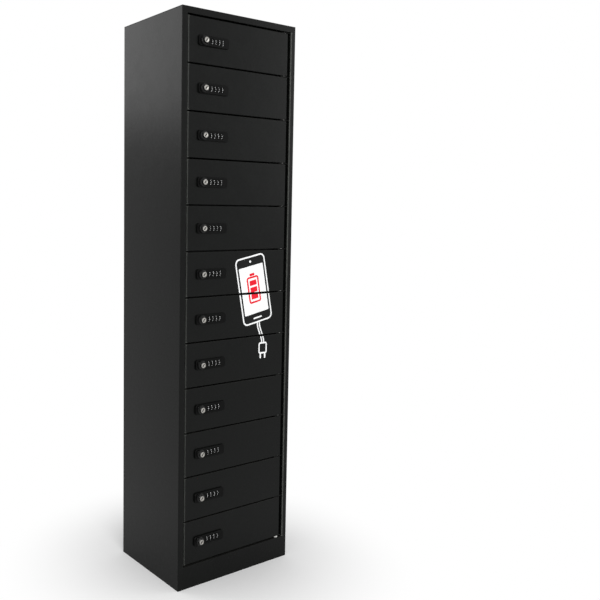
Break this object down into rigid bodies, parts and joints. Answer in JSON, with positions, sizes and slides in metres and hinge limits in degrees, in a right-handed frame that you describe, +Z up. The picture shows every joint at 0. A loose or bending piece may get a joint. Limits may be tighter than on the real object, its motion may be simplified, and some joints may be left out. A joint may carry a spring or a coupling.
{
  "type": "cell phone charging locker",
  "caption": "Tall narrow sheet-steel locker for charging phones, with a column of small doors, each on pivot hinges and shut by a combination lock whose knob turns a cam.",
  "frame": {"origin": "on the floor, in the middle of the space the locker takes up, knobs and rear screws included", "axes": "+X to the right as one faces the doors, +Y into the locker from the doors to the back, +Z up"},
  "size_m": [0.38, 0.295, 1.5],
  "materials": {
    "cabinet_paint": "black powder coat, satin, fine orange peel",
    "door_paint": "black powder coat, satin, fine orange peel",
    "bracket_paint": "black paint, satin",
    "white_nylon": "natural nylon",
    "socket_plastic": "moulded, fine texture",
    "inlet_plastic": "moulded, smooth",
    "screw_steel": "zinc plated",
    "lock_plastic": "moulded black, slight gloss",
    "wheel_plastic": "moulded black with white numerals",
    "knob_plastic": "moulded black, slight gloss, with a steel key plug"
  },
  "bodies": {
    "cabinet": {"left_side": "cabinet_paint", "right_side": "cabinet_paint", "top_panel": "cabinet_paint", "base_panel": "cabinet_paint", "inner_back": "cabinet_paint", "rear_cover": "cabinet_paint", "shelves": "cabinet_paint", "hinge_brackets": "bracket_paint", "hinge_washers": "white_nylon", "charging_sockets": "socket_plastic", "power_inlet": "inlet_plastic", "cover_screws": "screw_steel"},
    "door_01": {"door_01": "door_paint", "lock_body_01": "lock_plastic"},
    "wheels_01": {"number_wheels_01": "wheel_plastic"},
    "knob_01": {"lock_knob_01": "knob_plastic"},
    "door_02": {"door_02": "door_paint", "lock_body_02": "lock_plastic"},
    "wheels_02": {"number_wheels_02": "wheel_plastic"},
    "knob_02": {"lock_knob_02": "knob_plastic"},
    "door_03": {"door_03": "door_paint", "lock_body_03": "lock_plastic"},
    "wheels_03": {"number_wheels_03": "wheel_plastic"},
    "knob_03": {"lock_knob_03": "knob_plastic"},
    "door_04": {"door_04": "door_paint", "lock_body_04": "lock_plastic"},
    "wheels_04": {"number_wheels_04": "wheel_plastic"},
    "knob_04": {"lock_knob_04": "knob_plastic"},
    "door_05": {"door_05": "door_paint", "lock_body_05": "lock_plastic"},
    "wheels_05": {"number_wheels_05": "wheel_plastic"},
    "knob_05": {"lock_knob_05": "knob_plastic"},
    "door_06": {"door_06": "door_paint", "lock_body_06": "lock_plastic"},
    "wheels_06": {"number_wheels_06": "wheel_plastic"},
    "knob_06": {"lock_knob_06": "knob_plastic"},
    "door_07": {"door_07": "door_paint", "lock_body_07": "lock_plastic"},
    "wheels_07": {"number_wheels_07": "wheel_plastic"},
    "knob_07": {"lock_knob_07": "knob_plastic"},
    "door_08": {"door_08": "door_paint", "lock_body_08": "lock_plastic"},
    "wheels_08": {"number_wheels_08": "wheel_plastic"},
    "knob_08": {"lock_knob_08": "knob_plastic"},
    "door_09": {"door_09": "door_paint", "lock_body_09": "lock_plastic"},
    "wheels_09": {"number_wheels_09": "wheel_plastic"},
    "knob_09": {"lock_knob_09": "knob_plastic"},
    "door_10": {"door_10": "door_paint", "lock_body_10": "lock_plastic"},
    "wheels_10": {"number_wheels_10": "wheel_plastic"},
    "knob_10": {"lock_knob_10": "knob_plastic"},
    "door_11": {"door_11": "door_paint", "lock_body_11": "lock_plastic"},
    "wheels_11": {"number_wheels_11": "wheel_plastic"},
    "knob_11": {"lock_knob_11": "knob_plastic"},
    "door_12": {"door_12": "door_paint", "lock_body_12": "lock_plastic"},
    "wheels_12": {"number_wheels_12": "wheel_plastic"},
    "knob_12": {"lock_knob_12": "knob_plastic"}
  },
  "joints": [
    {"name": "door_01_hinge", "type": "hinge", "parent": "cabinet", "child": "door_01", "pos_m": [0.157, -0.12625, 1.42249], "axis": [0, 0, 1], "range_deg": [0, 110]},
    {"name": "wheels_01_turn", "type": "hinge", "parent": "door_01", "child": "wheels_01", "pos_m": [-0.0807, -0.13075, 1.42249], "axis": [1, 0, 0], "continuous": true},
    {"name": "knob_01_turn", "type": "hinge", "parent": "door_01", "child": "knob_01", "pos_m": [-0.1218, -0.13775, 1.42249], "axis": [0, 1, 0], "range_deg": [0, 90]},
    {"name": "door_02_hinge", "type": "hinge", "parent": "cabinet", "child": "door_02", "pos_m": [0.157, -0.12625, 1.30418], "axis": [0, 0, 1], "range_deg": [0, 110]},
    {"name": "wheels_02_turn", "type": "hinge", "parent": "door_02", "child": "wheels_02", "pos_m": [-0.0807, -0.13075, 1.30418], "axis": [1, 0, 0], "continuous": true},
    {"name": "knob_02_turn", "type": "hinge", "parent": "door_02", "child": "knob_02", "pos_m": [-0.1218, -0.13775, 1.30418], "axis": [0, 1, 0], "range_deg": [0, 90]},
    {"name": "door_03_hinge", "type": "hinge", "parent": "cabinet", "child": "door_03", "pos_m": [0.157, -0.12625, 1.18586], "axis": [0, 0, 1], "range_deg": [0, 110]},
    {"name": "wheels_03_turn", "type": "hinge", "parent": "door_03", "child": "wheels_03", "pos_m": [-0.0807, -0.13075, 1.18586], "axis": [1, 0, 0], "continuous": true},
    {"name": "knob_03_turn", "type": "hinge", "parent": "door_03", "child": "knob_03", "pos_m": [-0.1218, -0.13775, 1.18586], "axis": [0, 1, 0], "range_deg": [0, 90]},
    {"name": "door_04_hinge", "type": "hinge", "parent": "cabinet", "child": "door_04", "pos_m": [0.157, -0.12625, 1.06754], "axis": [0, 0, 1], "range_deg": [0, 110]},
    {"name": "wheels_04_turn", "type": "hinge", "parent": "door_04", "child": "wheels_04", "pos_m": [-0.0807, -0.13075, 1.06754], "axis": [1, 0, 0], "continuous": true},
    {"name": "knob_04_turn", "type": "hinge", "parent": "door_04", "child": "knob_04", "pos_m": [-0.1218, -0.13775, 1.06754], "axis": [0, 1, 0], "range_deg": [0, 90]},
    {"name": "door_05_hinge", "type": "hinge", "parent": "cabinet", "child": "door_05", "pos_m": [0.157, -0.12625, 0.94922], "axis": [0, 0, 1], "range_deg": [0, 110]},
    {"name": "wheels_05_turn", "type": "hinge", "parent": "door_05", "child": "wheels_05", "pos_m": [-0.0807, -0.13075, 0.94922], "axis": [1, 0, 0], "continuous": true},
    {"name": "knob_05_turn", "type": "hinge", "parent": "door_05", "child": "knob_05", "pos_m": [-0.1218, -0.13775, 0.94922], "axis": [0, 1, 0], "range_deg": [0, 90]},
    {"name": "door_06_hinge", "type": "hinge", "parent": "cabinet", "child": "door_06", "pos_m": [0.157, -0.12625, 0.83091], "axis": [0, 0, 1], "range_deg": [0, 110]},
    {"name": "wheels_06_turn", "type": "hinge", "parent": "door_06", "child": "wheels_06", "pos_m": [-0.0807, -0.13075, 0.83091], "axis": [1, 0, 0], "continuous": true},
    {"name": "knob_06_turn", "type": "hinge", "parent": "door_06", "child": "knob_06", "pos_m": [-0.1218, -0.13775, 0.83091], "axis": [0, 1, 0], "range_deg": [0, 90]},
    {"name": "door_07_hinge", "type": "hinge", "parent": "cabinet", "child": "door_07", "pos_m": [0.157, -0.12625, 0.71259], "axis": [0, 0, 1], "range_deg": [0, 110]},
    {"name": "wheels_07_turn", "type": "hinge", "parent": "door_07", "child": "wheels_07", "pos_m": [-0.0807, -0.13075, 0.71259], "axis": [1, 0, 0], "continuous": true},
    {"name": "knob_07_turn", "type": "hinge", "parent": "door_07", "child": "knob_07", "pos_m": [-0.1218, -0.13775, 0.71259], "axis": [0, 1, 0], "range_deg": [0, 90]},
    {"name": "door_08_hinge", "type": "hinge", "parent": "cabinet", "child": "door_08", "pos_m": [0.157, -0.12625, 0.59427], "axis": [0, 0, 1], "range_deg": [0, 110]},
    {"name": "wheels_08_turn", "type": "hinge", "parent": "door_08", "child": "wheels_08", "pos_m": [-0.0807, -0.13075, 0.59427], "axis": [1, 0, 0], "continuous": true},
    {"name": "knob_08_turn", "type": "hinge", "parent": "door_08", "child": "knob_08", "pos_m": [-0.1218, -0.13775, 0.59427], "axis": [0, 1, 0], "range_deg": [0, 90]},
    {"name": "door_09_hinge", "type": "hinge", "parent": "cabinet", "child": "door_09", "pos_m": [0.157, -0.12625, 0.47596], "axis": [0, 0, 1], "range_deg": [0, 110]},
    {"name": "wheels_09_turn", "type": "hinge", "parent": "door_09", "child": "wheels_09", "pos_m": [-0.0807, -0.13075, 0.47596], "axis": [1, 0, 0], "continuous": true},
    {"name": "knob_09_turn", "type": "hinge", "parent": "door_09", "child": "knob_09", "pos_m": [-0.1218, -0.13775, 0.47596], "axis": [0, 1, 0], "range_deg": [0, 90]},
    {"name": "door_10_hinge", "type": "hinge", "parent": "cabinet", "child": "door_10", "pos_m": [0.157, -0.12625, 0.35764], "axis": [0, 0, 1], "range_deg": [0, 110]},
    {"name": "wheels_10_turn", "type": "hinge", "parent": "door_10", "child": "wheels_10", "pos_m": [-0.0807, -0.13075, 0.35764], "axis": [1, 0, 0], "continuous": true},
    {"name": "knob_10_turn", "type": "hinge", "parent": "door_10", "child": "knob_10", "pos_m": [-0.1218, -0.13775, 0.35764], "axis": [0, 1, 0], "range_deg": [0, 90]},
    {"name": "door_11_hinge", "type": "hinge", "parent": "cabinet", "child": "door_11", "pos_m": [0.157, -0.12625, 0.23933], "axis": [0, 0, 1], "range_deg": [0, 110]},
    {"name": "wheels_11_turn", "type": "hinge", "parent": "door_11", "child": "wheels_11", "pos_m": [-0.0807, -0.13075, 0.23933], "axis": [1, 0, 0], "continuous": true},
    {"name": "knob_11_turn", "type": "hinge", "parent": "door_11", "child": "knob_11", "pos_m": [-0.1218, -0.13775, 0.23933], "axis": [0, 1, 0], "range_deg": [0, 90]},
    {"name": "door_12_hinge", "type": "hinge", "parent": "cabinet", "child": "door_12", "pos_m": [0.157, -0.12625, 0.12101], "axis": [0, 0, 1], "range_deg": [0, 110]},
    {"name": "wheels_12_turn", "type": "hinge", "parent": "door_12", "child": "wheels_12", "pos_m": [-0.0807, -0.13075, 0.12101], "axis": [1, 0, 0], "continuous": true},
    {"name": "knob_12_turn", "type": "hinge", "parent": "door_12", "child": "knob_12", "pos_m": [-0.1218, -0.13775, 0.12101], "axis": [0, 1, 0], "range_deg": [0, 90]}
  ]
}
